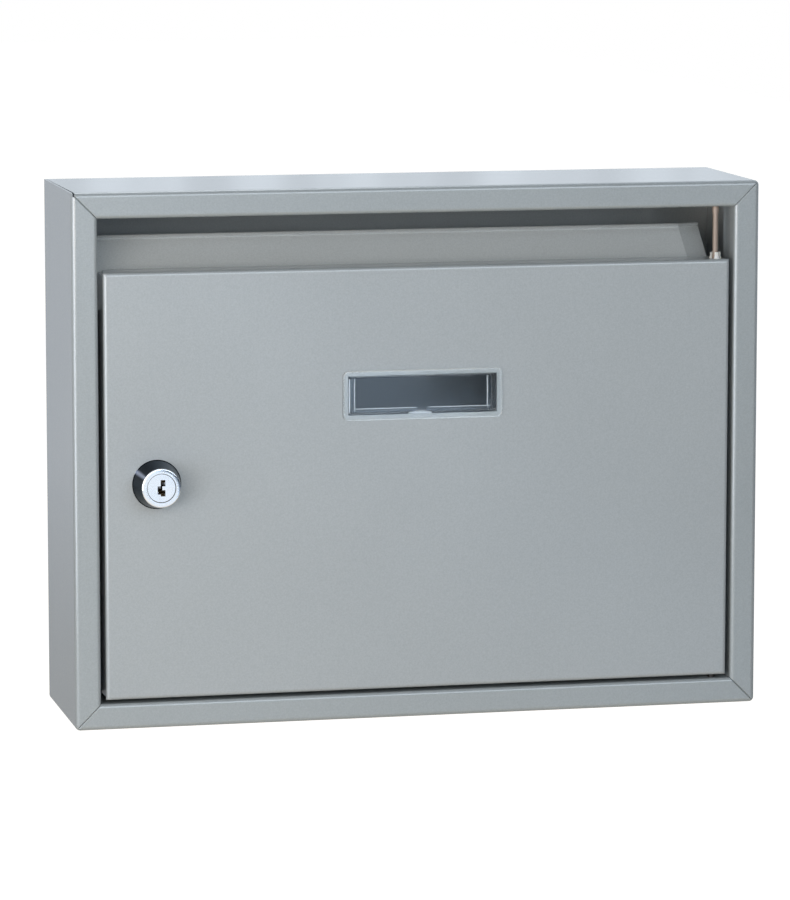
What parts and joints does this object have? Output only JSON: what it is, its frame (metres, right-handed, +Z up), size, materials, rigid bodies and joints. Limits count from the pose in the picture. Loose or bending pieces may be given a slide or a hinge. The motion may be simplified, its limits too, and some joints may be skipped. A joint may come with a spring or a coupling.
{
  "type": "wall mailbox",
  "caption": "Wall mailbox folded from painted sheet steel, with an open letter slot along the top, a hinged front door, a clear name holder and a cam lock.",
  "frame": {"origin": "middle of the back face, on the wall, which is also the middle of the four wall holes", "axes": "+X to the right seen from the front, +Y from the front towards the wall, +Z up"},
  "size_m": [0.32, 0.093, 0.244],
  "materials": {
    "painted_steel": "silver-grey baked enamel, half gloss, with a fine stipple",
    "coppered_steel": "drawn wire with a thin copper wash",
    "nylon": "moulded, natural white",
    "clear_plastic": "moulded, clear and glossy",
    "chrome": "polished and plated",
    "zinc_plated_steel": "bright zinc plate",
    "brass": "stamped, plain"
  },
  "bodies": {
    "box": {"housing": "painted_steel", "back_pan": "painted_steel", "slot_baffle": "painted_steel", "hinge_rod": "coppered_steel"},
    "door_leaf": {"door": "painted_steel", "hinge_bush_upper": "nylon", "hinge_bush_lower": "nylon", "name_holder": "clear_plastic", "lock_body": "chrome", "lock_tooth_washer": "zinc_plated_steel", "lock_nut": "zinc_plated_steel"},
    "lock_core": {"lock_plug": "chrome", "lock_wafers": "brass", "lock_stop_washer": "zinc_plated_steel", "lock_cam": "zinc_plated_steel", "cam_spring_washer": "zinc_plated_steel", "cam_screw": "zinc_plated_steel"}
  },
  "joints": [
    {"name": "door_hinge", "type": "hinge", "parent": "box", "child": "door_leaf", "pos_m": [0.1405, -0.0748, 0], "axis": [0, 0, 1], "range_deg": [0, 105]},
    {"name": "lock_turn", "type": "hinge", "parent": "door_leaf", "child": "lock_core", "pos_m": [-0.1222, -0.08, -0.0102], "axis": [0, 1, 0], "range_deg": [0, 90]}
  ]
}
